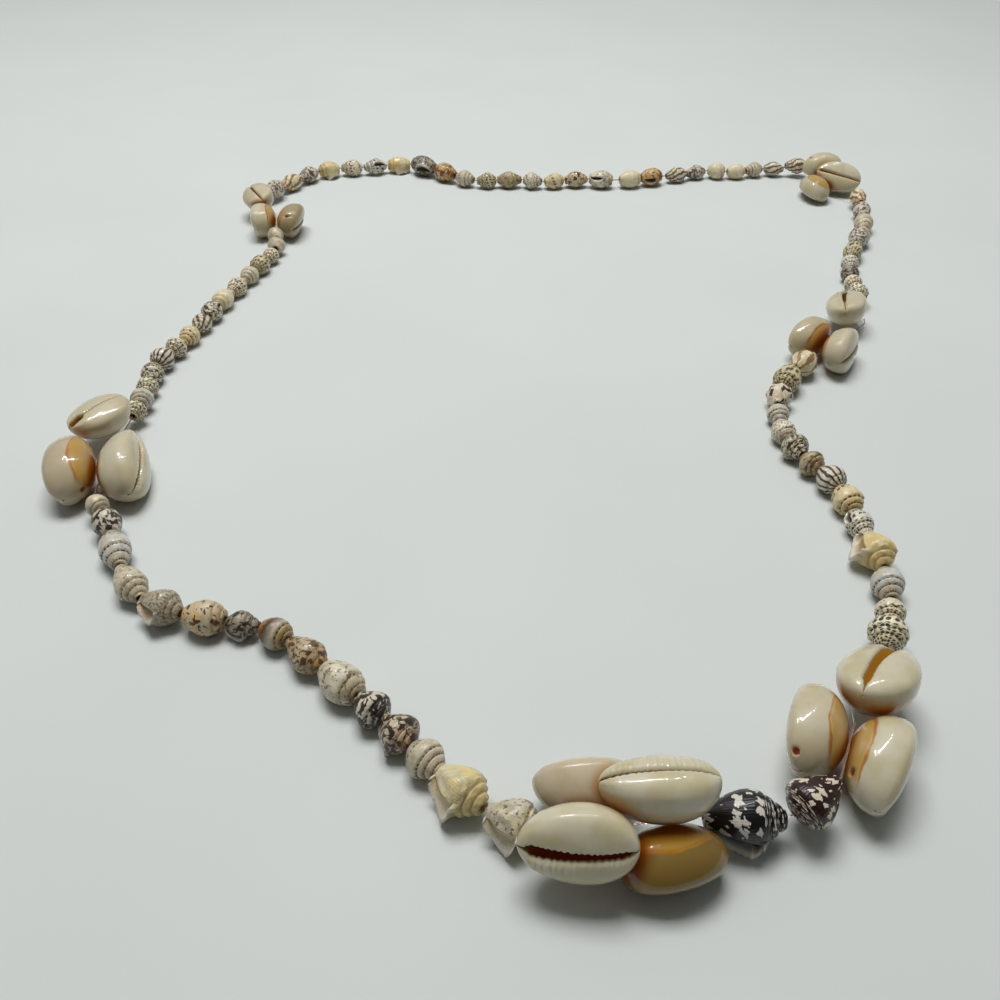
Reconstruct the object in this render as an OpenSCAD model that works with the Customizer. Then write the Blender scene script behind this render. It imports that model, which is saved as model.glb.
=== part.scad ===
// Cowrie shell necklace, lying in its loop on a table.
// Six bunches of cowries, strings of small drilled shells between them, one thread.
// Millimetres. X to the right, Y away from the viewer, Z up. The table is at Z = 0.

/* [Cowries] */
// Height of the back over the widest line, as a share of the length
back_share = 0.36; // [0.33:0.01:0.36]
// Depth of the base under the widest line, as a share of the length
base_share = 0.17; // [0.15:0.01:0.18]
// Thickness of the wall
cowrie_wall = 1.4; // [1:0.1:1.8]
// Half of the angle that the slit between the lips takes, in degrees
slit_angle = 8; // [6:1:10]
// Hole drilled near one end
drill_d = 1.8; // [1.2:0.1:2.2]

/* [Small shells] */
// Bore for the thread
bore_d = 2; // [1.6:0.1:2.2]
// Gap between neighbours on the thread
bead_gap = 0.3; // [0.2:0.05:0.5]
// Depth of the grooves between the whorls, as a share of the radius
whorl_depth = 0.1; // [0.04:0.01:0.14]
// Length of the mouth, as a share of the shell's length
mouth_share = 0.44; // [0.36:0.02:0.48]
// Width of the mouth, as a share of the shell's width
mouth_width_share = 0.3; // [0.2:0.02:0.34]

/* [Thread] */
// Thickness of the clear thread
thread_d = 0.5; // [0.4:0.05:0.6]

/* [Hidden] */
$fn = 48;
// Colours for the preview
ivory = [0.91, 0.86, 0.73];
cream = [0.86, 0.80, 0.68];
spotted = [0.62, 0.55, 0.46];
clear = [0.85, 0.78, 0.74];

// Cowries: x, y, length, width, yaw, nose up, roll, lift, hole station, hole angle.
// Roll 0 lies with the back up, roll 180 with the slit up.
// Stations run from -1 at the rounded end to 1 at the nose.
// Hole angles run round the shell from 0 at the middle of the back.
FRONT_LEFT = [-3.5, -183, 23, 15, 174, -5, 115, 5.5, -0.6, 0];
FRONT_BACK = [-0.5, -165, 22, 15, 182, 0, -105, 0, -0.6, 0];
FRONT_UPPER = [12.5, -173, 23.5, 12.5, 180, -2, 195, 10, 0.6, 0];
FRONT_RIGHT = [15.5, -182.2, 21.5, 14, 13, 3, -35, 0, -0.7, -15];
RIGHT_LOW_UPPER = [65, -141, 23, 17, 52, -15, 165, 4.5, -0.6, 0];
RIGHT_LOW_LEFT = [47.5, -152.5, 23, 15.5, 69, 0, 70, 1, -0.85, 100];
RIGHT_LOW_RIGHT = [61.5, -162, 23.5, 16.5, 242, 0, 80, 0, 0.55, 10];
LEFT_MID_UPPER = [-139, -36.5, 19.5, 15.5, 230, -4, 184, 3.5, 0.6, 0];
LEFT_MID_LEFT = [-141.8, -60, 25, 14.5, 104, 6, 60, 0, -0.8, -25];
LEFT_MID_RIGHT = [-123.8, -58.5, 25.5, 15.5, 103, 6, -110, 0, 0.6, 0];
RIGHT_MID_UPPER = [106, 35.5, 20, 14, 73, -7, 165, 2, -0.6, 0];
RIGHT_MID_LEFT = [88.5, 17.5, 20, 13, 42, 0, 80, 0, -0.6, -125];
RIGHT_MID_RIGHT = [98.5, 7, 20, 14, 60, 0, -100, 0, 0.6, 0];
RIGHT_FAR_BACK = [132, 172.5, 18, 12, 0, 8, 0, 4, -0.6, 0];
RIGHT_FAR_LEFT = [124, 153.5, 18, 12.5, 100, 0, 20, 0, 0.6, 0];
RIGHT_FAR_RIGHT = [136, 159, 20, 13, 160, 10, 130, 1, 0.6, 0];
LEFT_FAR_UPPER = [-123, 132, 17.5, 13, 119, 0, 160, 4, -0.6, 0];
LEFT_FAR_LEFT = [-119, 115, 19, 13, 95, 0, 75, 0, 0.6, 0];
LEFT_FAR_RIGHT = [-104.5, 114.5, 19, 13, 85, 0, -75, 0, -0.7, -65];

// Outlines of the small shells from spire to nose: station, radius share, groove share
CONE = [[0, 0.5, 0], [0.07, 0.58, 0], [0.13, 0.63, 0], [0.16, 0.65, 1], [0.2, 0.73, 0],
    [0.29, 0.8, 0], [0.32, 0.83, 1], [0.37, 0.92, 0], [0.47, 0.99, 0], [0.58, 1, 0],
    [0.68, 0.96, 0], [0.78, 0.87, 0], [0.89, 0.73, 0], [1, 0.56, 0]];
DOME = [[0, 0.55, 0], [0.06, 0.68, 0], [0.11, 0.74, 0], [0.14, 0.76, 1], [0.19, 0.86, 0],
    [0.3, 0.95, 0], [0.42, 1, 0], [0.54, 0.99, 0], [0.66, 0.94, 0], [0.78, 0.86, 0],
    [0.89, 0.75, 0], [1, 0.6, 0]];
LONG = [[0, 0.44, 0], [0.08, 0.55, 0], [0.12, 0.6, 1], [0.18, 0.7, 0], [0.27, 0.78, 0],
    [0.3, 0.81, 1], [0.36, 0.91, 0], [0.46, 0.99, 0], [0.56, 1, 0], [0.68, 0.94, 0],
    [0.8, 0.8, 0], [0.9, 0.63, 0], [1, 0.48, 0]];
WEDGE = [[0, 0.42, 0], [0.07, 0.52, 0], [0.1, 0.56, 1], [0.15, 0.68, 0], [0.21, 0.76, 0],
    [0.23, 0.79, 1], [0.28, 0.9, 0], [0.35, 0.98, 0], [0.43, 1, 0], [0.54, 0.96, 0],
    [0.66, 0.86, 0], [0.78, 0.72, 0], [0.9, 0.57, 0], [1, 0.45, 0]];
TOP = [[0, 0.5, 0], [0.05, 0.68, 0], [0.08, 0.74, 1], [0.13, 0.87, 0], [0.19, 0.94, 0],
    [0.22, 0.96, 1], [0.27, 1, 0], [0.38, 0.98, 0], [0.52, 0.87, 0], [0.68, 0.71, 0],
    [0.84, 0.49, 0], [1, 0.32, 0]];

// Routes of the strings, in order round the loop: x, y
FRONT_ROUTE = [[22, -172.5], [38.5, -173.5], [50, -167]];
RIGHT_ROUTE = [[72, -127], [77.5, -115], [80.5, -104], [80.5, -92], [79.5, -79], [79.5, -70],
    [77, -60], [73, -52.5], [69.5, -44], [68.5, -35], [69, -26], [71.5, -17], [76, -6],
    [84, 2], [90, 8]];
RIGHT_FAR_ROUTE = [[114.5, 46], [116.5, 54], [116.5, 63], [118.5, 72], [120.5, 80], [126, 94],
    [133, 107], [138, 122], [140.5, 137], [141, 151]];
FAR_ROUTE = [[127, 180], [113, 180], [104, 181], [95, 177], [85, 177], [76, 179],
    [66, 173], [54, 170], [44, 167], [31, 165], [19, 168], [9, 166], [0, 164], [-10, 167],
    [-22, 166], [-31, 166], [-41, 172], [-52, 181], [-63, 187], [-74, 184], [-85, 181],
    [-95, 181], [-105, 176], [-112, 166], [-119, 154], [-122, 144]];
LEFT_FAR_ROUTE = [[-112, 107], [-109.5, 99], [-108.5, 93], [-110.5, 86], [-112.5, 78],
    [-115.5, 69], [-118, 59], [-121.5, 49], [-123, 40], [-125, 31], [-127.5, 21],
    [-130.5, 12], [-133, 5], [-133.5, -4], [-132.5, -12], [-132, -20], [-132, -30]];
LEFT_ROUTE = [[-131.5, -70.5], [-125, -79], [-119.5, -90], [-112, -105], [-101.5, -113],
    [-90, -116], [-81, -117], [-72.5, -119.5], [-63, -128], [-53.5, -137], [-46, -144],
    [-39.5, -151], [-33.5, -157.5], [-25, -166.5], [-16.5, -173.5], [-6.5, -175.5]];

// Shells on each string: room along the thread, width, outline, spire, mouth angle.
// Spire 1 points along the route, -1 back. The mouth turns from 0 at the top, plus inward.
// A row of width 0 is bare thread. A sixth number is how far the shell points upward.
FRONT_SHELLS = [[17.5, 11.5, WEDGE, 1, -100], [15, 11, TOP, -1, 170, 20]];
RIGHT_SHELLS = [[10, 9.5, CONE, -1, 150], [9, 7.5, CONE, -1, 170], [11, 8.5, CONE, -1, 200],
    [13, 10, WEDGE, -1, 60], [11, 7.5, CONE, -1, 60], [10, 8.5, DOME, -1, 180],
    [9, 8.5, DOME, -1, 160], [8, 8, CONE, -1, 180], [9, 8.5, CONE, -1, 200],
    [9.5, 7.5, DOME, -1, 180], [9, 7, CONE, -1, 170], [10.5, 8.5, WEDGE, 1, 180],
    [12.5, 9, DOME, -1, 150], [11.5, 8.5, CONE, 1, 180]];
RIGHT_FAR_SHELLS = [[11, 7.5, CONE, -1, 180], [9.5, 7, CONE, -1, 190],
    [8.5, 7, CONE, -1, 160], [10, 7, CONE, -1, 180], [14, 7.5, DOME, -1, 170],
    [15, 8.5, LONG, 1, 180], [14, 8, LONG, -1, 190], [12.5, 7.5, CONE, -1, 180],
    [11, 7, CONE, -1, 180]];
FAR_SHELLS = [[10.5, 7, CONE, 1, 180], [10, 6.5, CONE, -1, 160], [9.5, 7, CONE, 1, 190],
    [9.5, 7, DOME, -1, 180], [9.5, 7.5, DOME, -1, 180], [11, 6.5, CONE, 1, 150],
    [11, 7, CONE, 1, 180], [2, 0], [10.5, 8, DOME, -1, 90], [10.5, 8, DOME, -1, 170],
    [2.5, 0], [12, 8, DOME, -1, 60], [11.5, 7.5, LONG, -1, 180], [10, 7, DOME, -1, 180],
    [10, 7.5, CONE, -1, 180], [12, 7.5, LONG, -1, 180], [10, 7, CONE, 1, 170],
    [10, 7.5, CONE, -1, 190], [13, 8.5, CONE, -1, 180], [14, 9, DOME, 1, 100],
    [12.5, 7.5, DOME, 1, 180], [11.5, 7.5, LONG, 1, 60], [11, 7.5, CONE, 1, 180],
    [11, 7.5, DOME, 1, 170], [11.5, 7.5, CONE, 1, 190], [12.5, 7.5, CONE, 1, 180],
    [13, 7.5, CONE, 1, 160]];
LEFT_FAR_SHELLS = [[9, 6.5, CONE, -1, 180], [7.5, 7, DOME, -1, 170],
    [8.5, 6.5, CONE, 1, 180], [9.5, 7.5, DOME, 1, 190], [9.5, 7, CONE, 1, 180],
    [11, 7, CONE, 1, 160], [10, 7.5, DOME, 1, 180], [9, 7.5, DOME, 1, 60],
    [9, 7, CONE, 1, 190], [9.5, 7, CONE, 1, 180], [8, 7.5, CONE, 1, 170],
    [8.5, 8, DOME, 1, -60], [9, 7.5, DOME, 1, 180], [8.5, 7, CONE, 1, 190],
    [8, 7.5, CONE, 1, 180], [7, 7, CONE, 1, 180]];
LEFT_SHELLS = [[7.5, 6.5, DOME, 1, 180], [9.5, 8, DOME, -1, 170], [14.5, 8.5, CONE, 1, 190],
    [15, 8.5, WEDGE, 1, 160], [13, 9.5, WEDGE, 1, -65], [11, 9, DOME, 1, 150],
    [9, 7, CONE, 1, -100], [9, 8, DOME, 1, 170], [13.5, 8.5, WEDGE, 1, 190],
    [12, 9.5, DOME, 1, 180], [9.5, 9, WEDGE, 1, 160], [9.5, 9.5, WEDGE, 1, -100],
    [9, 9, CONE, 1, 170], [13.5, 10.5, WEDGE, 1, -75], [12.5, 9.5, WEDGE, 1, -80]];

// How far the first and last shells of a string are lifted where the cowries hold them
FRONT_LIFT = [1.5, 6.5];
RIGHT_LIFT = [1.5, 1.5];
RIGHT_FAR_LIFT = [2, 3];
FAR_LIFT = [3, 3];
LEFT_FAR_LIFT = [3, 2];
LEFT_LIFT = [2.5, 1.5];
LIFT_REACH = 25;

// Thread between the strings, through the middle of each bunch: x, y, z
FRONT_KNOT = [[3, -173, 3.5]];
RIGHT_LOW_KNOT = [[56, -154, 12.5], [61, -141.5, 2.5]];
RIGHT_MID_KNOT = [[97.5, 17, 1], [114, 34.5, 2]];
RIGHT_FAR_KNOT = [[130, 157.5, 2.5], [129.5, 178, 3.2]];
LEFT_FAR_KNOT = [[-111.5, 113.5, 2.5]];
LEFT_MID_KNOT = [[-135, -44.5, 1]];

// Stations along a cowrie, and steps round half of its section
COWRIE_STATIONS = 11;
COWRIE_STEPS = 13;
END_ANGLE = 87;
// Least share of a section that its hollow takes, at the ends
LEAST_HOLLOW = 0.3;
THREAD_SIDES = 6;

// Sections of a cowrie: fullness at a station, and a point on the outside
function fullness(t) = pow(max(0, 1 - pow(abs(t), 2.1)), 0.52) * (1 - 0.08 * t);
function outer_z(t, a) = let (c = cos(a), f = fullness(t))
    c > 0 ? back_share * f * pow(c, 0.95) : -base_share * pow(f, 0.8) * pow(-c, 0.75);
function outer(t, a, l, w) = [t * l / 2, w / 2 * fullness(t) * sin(a), l * outer_z(t, a)];
function middle(t, l) = [t * l / 2, 0, l * fullness(t) * (back_share - base_share) / 2];
function hollow_share(t, w) = max(LEAST_HOLLOW, 1 - cowrie_wall / max(0.1, w / 2 * fullness(t)));
function inner(t, a, l, w) = let (m = middle(t, l))
    m + (outer(t, a, l, w) - m) * hollow_share(t, w);
function station(j) = sin(END_ANGLE * (2 * j / (COWRIE_STATIONS - 1) - 1));
function section_angle(k) = (180 - slit_angle) * (2 * k / (COWRIE_STEPS - 1) - 1);
function cowrie_points(l, w) = [for (j = [0:COWRIE_STATIONS - 1], k = [0:2 * COWRIE_STEPS - 1])
    let (t = station(j))
    k < COWRIE_STEPS ? outer(t, section_angle(k), l, w)
        : inner(t, section_angle(2 * COWRIE_STEPS - 1 - k), l, w)];
// Two triangles between four numbered corners
function two(a, b, c, d) = [[a, b, c], [a, c, d]];
function cowrie_faces() = let (n = 2 * COWRIE_STEPS, last = (COWRIE_STATIONS - 1) * n) concat(
    [for (j = [0:COWRIE_STATIONS - 2], k = [0:n - 1])
        each two(j * n + k, j * n + (k + 1) % n, (j + 1) * n + (k + 1) % n, (j + 1) * n + k)],
    [for (k = [0:COWRIE_STEPS - 2]) each two(k, n - 1 - k, n - 2 - k, k + 1)],
    [for (k = [0:COWRIE_STEPS - 2])
        each two(last + k, last + k + 1, last + n - 2 - k, last + n - 1 - k)]);
// Height of a point once the shell is turned by its nose angle and its roll
function turned_z(p, nose, roll) =
    sin(nose) * p[0] + cos(nose) * (sin(roll) * p[1] + cos(roll) * p[2]);

module cowrie(row) {
    l = row[2];
    w = row[3];
    points = cowrie_points(l, w);
    low = min([for (p = points) turned_z(p, row[5], row[6])]);
    spot = outer(row[8], row[9], l, w);
    core = middle(row[8], l);
    translate([row[0], row[1], row[7] - low])
    rotate([row[6], -row[5], row[4]])
    difference() {
        polyhedron(points, cowrie_faces(), convexity = 6);
        translate(core)
        rotate([-row[9], 0, 0])
        cylinder(h = norm(spot - core) + cowrie_wall, d = drill_d);
    }
}

// Smooth curve through a route, and the length along it
function blend(a, b, c, d, t) = 0.5 * (2 * b + (c - a) * t
    + (2 * a - 5 * b + 4 * c - d) * t * t + (3 * b - a - 3 * c + d) * t * t * t);
CURVE_STEPS = 5;
function curve(r) = let (e = len(r) - 1) [
    for (i = [0:e - 1], k = [0:CURVE_STEPS - 1])
        blend(r[max(i - 1, 0)], r[i], r[i + 1], r[min(i + 2, e)], k / CURVE_STEPS),
    r[e]];
function lengths(c) = [for (i = 0, s = 0; i < len(c);
    s = s + (i < len(c) - 1 ? norm(c[i + 1] - c[i]) : 0), i = i + 1) s];
function ruler(r) = let (c = curve(r), s = lengths(c))
    [for (axis = [0, 1]) [for (i = [0:len(c) - 1]) [s[i], c[i][axis]]]];
function at(tape, s) = [lookup(s, tape[0]), lookup(s, tape[1])];
// Points where one shell ends and the next begins
function joints(r, shells) = let (tape = ruler(r))
    [for (i = 0, s = 0; i <= len(shells);
        s = s + (i < len(shells) ? shells[i][0] : 0), i = i + 1) at(tape, s)];
function heading(a, b) = atan2(b[1] - a[1], b[0] - a[0]);
// Bend at a joint, between 0 and 180 degrees
function bend(j, i) = i < 1 || i > len(j) - 2 ? 0
    : let (d = abs(heading(j[i], j[i + 1]) - heading(j[i - 1], j[i]))) min(d, 360 - d);
END_RADIUS = 2.2;
function trim(j, i) = bead_gap / 2 + END_RADIUS * tan(bend(j, i) / 2);
function lift(j, i, lifts) = let (
    m = (j[i] + j[i + 1]) / 2,
    a = max(0, 1 - norm(m - j[0]) / LIFT_REACH),
    b = max(0, 1 - norm(m - j[len(j) - 1]) / LIFT_REACH))
    lifts[0] * a * a + lifts[1] * b * b;
function tilt(row) = len(row) > 5 ? row[5] : 0;
// Seat of a shell: x, y, z of its middle, heading, length, tilt
function seat(j, i, row, lifts) = let (
    d = (j[i + 1] - j[i]) / norm(j[i + 1] - j[i]),
    a = j[i] + d * trim(j, i),
    b = j[i + 1] - d * trim(j, i + 1),
    m = (a + b) / 2)
    [m[0], m[1], row[1] / 2 + lift(j, i, lifts), heading(a, b), norm(b - a), tilt(row)];

// Lens seen from above, made of two arcs, standing on Z = 0
module lens(l, w, h) {
    r = (l * l + w * w) / (4 * w);
    intersection() {
        translate([0, r - w / 2, 0]) cylinder(h = h, r = r, $fn = 96);
        translate([0, w / 2 - r, 0]) cylinder(h = h, r = r, $fn = 96);
    }
}

// Shell along X with its spire at the start and its mouth upward
module small_shell(l, w, outline) {
    side = [for (p = outline) [w / 2 * (p[1] - whorl_depth * p[2]), l * p[0]]];
    difference() {
        rotate([0, 90, 0]) rotate_extrude() polygon(concat([[0, 0]], side, [[0, l]]));
        translate([-1, 0, 0]) rotate([0, 90, 0]) cylinder(h = l + 2, d = bore_d);
        translate([0.66 * l, 0, bore_d / 4]) lens(mouth_share * l, mouth_width_share * w, w);
    }
}

module seated(route, shells, lifts, i) {
    j = joints(route, shells);
    row = shells[i];
    s = seat(j, i, row, lifts);
    translate([s[0], s[1], s[2]])
    rotate([0, -s[5], s[3]])
    rotate([row[3] * row[4], 0, row[3] > 0 ? 180 : 0])
    translate([-s[4] / 2, 0, 0])
    small_shell(s[4], row[1], row[2]);
}

module string_of(route, shells, lifts, first) {
    for (i = [first:len(shells) - 1])
        if (shells[i][1] > 0) seated(route, shells, lifts, i);
}

// Two thread points in each shell, so that the thread crosses each joint at a slant.
// At both ends of a string the outer point lies just past the bore.
INSIDE = 0.42;
PAST = 0.54;
function thread_in(route, shells, lifts) = let (j = joints(route, shells), e = len(shells) - 1)
    [for (i = [0:e], side = [i == 0 ? -PAST : -INSIDE, i == e ? PAST : INSIDE])
        if (shells[i][1] > 0) let (s = seat(j, i, shells[i], lifts), run = side * s[4])
        [s[0] + run * cos(s[5]) * cos(s[3]), s[1] + run * cos(s[5]) * sin(s[3]),
            s[2] + run * sin(s[5])]];
THREAD_ROUTE = concat(
    FRONT_KNOT, thread_in(FRONT_ROUTE, FRONT_SHELLS, FRONT_LIFT),
    RIGHT_LOW_KNOT, thread_in(RIGHT_ROUTE, RIGHT_SHELLS, RIGHT_LIFT),
    RIGHT_MID_KNOT, thread_in(RIGHT_FAR_ROUTE, RIGHT_FAR_SHELLS, RIGHT_FAR_LIFT),
    RIGHT_FAR_KNOT, thread_in(FAR_ROUTE, FAR_SHELLS, FAR_LIFT),
    LEFT_FAR_KNOT, thread_in(LEFT_FAR_ROUTE, LEFT_FAR_SHELLS, LEFT_FAR_LIFT),
    LEFT_MID_KNOT, thread_in(LEFT_ROUTE, LEFT_SHELLS, LEFT_LIFT));
function thread_ring(p, i) = let (
    n = len(p),
    t = p[(i + 1) % n] - p[(i + n - 1) % n],
    side = cross(t, [0, 0, 1]) / norm(cross(t, [0, 0, 1])),
    up = cross(side, t) / norm(t))
    [for (k = [0:THREAD_SIDES - 1]) let (a = 360 * k / THREAD_SIDES)
        p[i] + thread_d / 2 * (cos(a) * side + sin(a) * up)];
function tube_faces(n, m) = [for (i = [0:n - 1], k = [0:m - 1]) let (
    a = i * m + k,
    b = i * m + (k + 1) % m,
    c = ((i + 1) % n) * m + (k + 1) % m,
    d = ((i + 1) % n) * m + k)
    each two(a, b, c, d)];

module thread() color(clear) {
    p = THREAD_ROUTE;
    polyhedron([for (i = [0:len(p) - 1]) each thread_ring(p, i)],
        tube_faces(len(p), THREAD_SIDES), convexity = 10);
}

module cowrie_front_left() color(ivory) cowrie(FRONT_LEFT);
module cowrie_front_back() color(ivory) cowrie(FRONT_BACK);
module cowrie_front_upper() color(ivory) cowrie(FRONT_UPPER);
module cowrie_front_right() color(ivory) cowrie(FRONT_RIGHT);
module cowrie_right_low_upper() color(ivory) cowrie(RIGHT_LOW_UPPER);
module cowrie_right_low_left() color(ivory) cowrie(RIGHT_LOW_LEFT);
module cowrie_right_low_right() color(ivory) cowrie(RIGHT_LOW_RIGHT);
module cowrie_left_mid_upper() color(ivory) cowrie(LEFT_MID_UPPER);
module cowrie_left_mid_left() color(ivory) cowrie(LEFT_MID_LEFT);
module cowrie_left_mid_right() color(ivory) cowrie(LEFT_MID_RIGHT);
module cowrie_right_mid_upper() color(ivory) cowrie(RIGHT_MID_UPPER);
module cowrie_right_mid_left() color(ivory) cowrie(RIGHT_MID_LEFT);
module cowrie_right_mid_right() color(ivory) cowrie(RIGHT_MID_RIGHT);
module cowrie_right_far_back() color(ivory) cowrie(RIGHT_FAR_BACK);
module cowrie_right_far_left() color(ivory) cowrie(RIGHT_FAR_LEFT);
module cowrie_right_far_right() color(ivory) cowrie(RIGHT_FAR_RIGHT);
module cowrie_left_far_upper() color(ivory) cowrie(LEFT_FAR_UPPER);
module cowrie_left_far_left() color(ivory) cowrie(LEFT_FAR_LEFT);
module cowrie_left_far_right() color(ivory) cowrie(LEFT_FAR_RIGHT);

module front_shell(i) color(spotted) seated(FRONT_ROUTE, FRONT_SHELLS, FRONT_LIFT, i);
module right_shell(i) color(spotted) seated(RIGHT_ROUTE, RIGHT_SHELLS, RIGHT_LIFT, i);
module left_shell(i) color(cream) seated(LEFT_ROUTE, LEFT_SHELLS, LEFT_LIFT, i);
module shell_front_black() front_shell(0);
module shell_front_maroon() front_shell(1);
module shell_right_01() right_shell(0);
module shell_right_02() right_shell(1);
module shell_right_03() right_shell(2);
module shell_right_04() right_shell(3);
module shell_left_01() left_shell(0);
module shell_left_02() left_shell(1);
module shell_left_03() left_shell(2);
module shell_left_04() left_shell(3);
module shell_left_05() left_shell(4);
module shell_left_06() left_shell(5);
module shell_left_07() left_shell(6);
module shell_left_08() left_shell(7);
module shell_left_09() left_shell(8);
module shell_left_10() left_shell(9);
module shell_left_11() left_shell(10);
module shell_left_12() left_shell(11);
module shell_left_13() left_shell(12);
module shell_left_14() left_shell(13);
module shell_left_15() left_shell(14);
// Shells of the right string that are nodes of their own
RIGHT_SINGLES = 4;
module string_right() color(cream)
    string_of(RIGHT_ROUTE, RIGHT_SHELLS, RIGHT_LIFT, RIGHT_SINGLES);
module string_right_far() color(spotted)
    string_of(RIGHT_FAR_ROUTE, RIGHT_FAR_SHELLS, RIGHT_FAR_LIFT, 0);
module string_far() color(cream) string_of(FAR_ROUTE, FAR_SHELLS, FAR_LIFT, 0);
module string_left_far() color(spotted)
    string_of(LEFT_FAR_ROUTE, LEFT_FAR_SHELLS, LEFT_FAR_LIFT, 0);

cowrie_front_left();
cowrie_front_back();
cowrie_front_upper();
cowrie_front_right();
cowrie_right_low_upper();
cowrie_right_low_left();
cowrie_right_low_right();
cowrie_left_mid_upper();
cowrie_left_mid_left();
cowrie_left_mid_right();
cowrie_right_mid_upper();
cowrie_right_mid_left();
cowrie_right_mid_right();
cowrie_right_far_back();
cowrie_right_far_left();
cowrie_right_far_right();
cowrie_left_far_upper();
cowrie_left_far_left();
cowrie_left_far_right();
shell_front_black();
shell_front_maroon();
shell_right_01();
shell_right_02();
shell_right_03();
shell_right_04();
shell_left_01();
shell_left_02();
shell_left_03();
shell_left_04();
shell_left_05();
shell_left_06();
shell_left_07();
shell_left_08();
shell_left_09();
shell_left_10();
shell_left_11();
shell_left_12();
shell_left_13();
shell_left_14();
shell_left_15();
string_right();
string_right_far();
string_far();
string_left_far();
thread();
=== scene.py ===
# Cowrie shell necklace: looks of the cowries, the strung shells and the thread.
# The script works in metres in the part's frame. Tables are in millimetres, as a maker would measure.
# X to the right, Y away from the viewer, Z up, and the table top at Z = 0.

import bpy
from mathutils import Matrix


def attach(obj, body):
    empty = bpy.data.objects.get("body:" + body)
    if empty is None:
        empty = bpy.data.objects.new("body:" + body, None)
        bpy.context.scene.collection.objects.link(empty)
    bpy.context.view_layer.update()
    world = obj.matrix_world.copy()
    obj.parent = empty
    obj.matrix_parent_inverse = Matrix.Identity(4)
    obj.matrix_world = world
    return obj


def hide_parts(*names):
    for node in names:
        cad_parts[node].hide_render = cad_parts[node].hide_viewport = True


bl_info = {
    "name": "Cowrie Shell Necklace",
    "version": (1, 0, 0),
    "blender": (4, 5, 0),
    "location": "View3D > Sidebar > Necklace",
    "description": "Bunches of cowries and strings of small spotted shells on a clear thread",
    "category": "Add Mesh",
}

import math
from functools import partial

import bpy
import numpy as np
from bpy.props import FloatProperty, PointerProperty, StringProperty
from mathutils import Matrix, Vector
from mathutils.kdtree import KDTree

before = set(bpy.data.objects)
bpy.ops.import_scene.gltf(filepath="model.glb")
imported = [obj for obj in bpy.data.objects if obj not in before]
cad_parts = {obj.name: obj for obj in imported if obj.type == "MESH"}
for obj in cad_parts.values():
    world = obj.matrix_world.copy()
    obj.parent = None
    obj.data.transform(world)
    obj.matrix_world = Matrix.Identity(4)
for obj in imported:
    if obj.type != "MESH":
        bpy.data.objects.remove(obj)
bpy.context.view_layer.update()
MM = 0.001
# In metres: half the side of the floor, and how far the camera is to the left of the middle
FLOOR_REACH = 4
CAMERA_LEFT = 0.018

# Form of a cowrie, as in the part's source: shares of the length, and the wall
BACK_SHARE = 0.36
BASE_SHARE = 0.17
COWRIE_WALL = 1.4
END_ANGLE = 87
LEAST_HOLLOW = 0.3
# Lips and teeth are measured on a cowrie of this length and grow with it
PATTERN_LENGTH = 22
LIP_RADIUS = 0.95
TEETH = 15
# Angles round the section from the middle of the back: where the base starts to turn in, where the lip
# starts, and what the lip and the hollow count as for the ring
TURN_ANGLE = 108
LIP_ANGLE = 172
INNER_ANGLE = 175
# Pit of the drilled hole: distances from its middle where it starts and is at its deepest, and its depth
PIT_EDGE, PIT_FLOOR, PIT_DEPTH = 1.0, 0.6, 0.9
# How far off another shell still brings painted amber light and shade onto the wall, anywhere on it and
# low down on it
PAINTED_GLOW_REACH = 2.6
PAINTED_SHADE_UNDER_REACH = 8

# What a cowrie shows where its row says nothing else. slit: width of the slit. span: stations between
# which it is open and painted in shade. ridges: reach of the ridges on its two lips. tooth: height of the
# teeth.
# yellow: amber of the back. rose: of the sides. lined: strength of the ring. amber: painted amber light
# in the hollow. light: strength of the painted amber light and shade where another shell is near.
PLAIN_COWRIE = dict(slit=1.5, span=(-0.88, 0.82), ridges=(2, 2), tooth=0.2, yellow=0.3, rose=0.3, lined=1,
                    amber=0, light=1)
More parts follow.
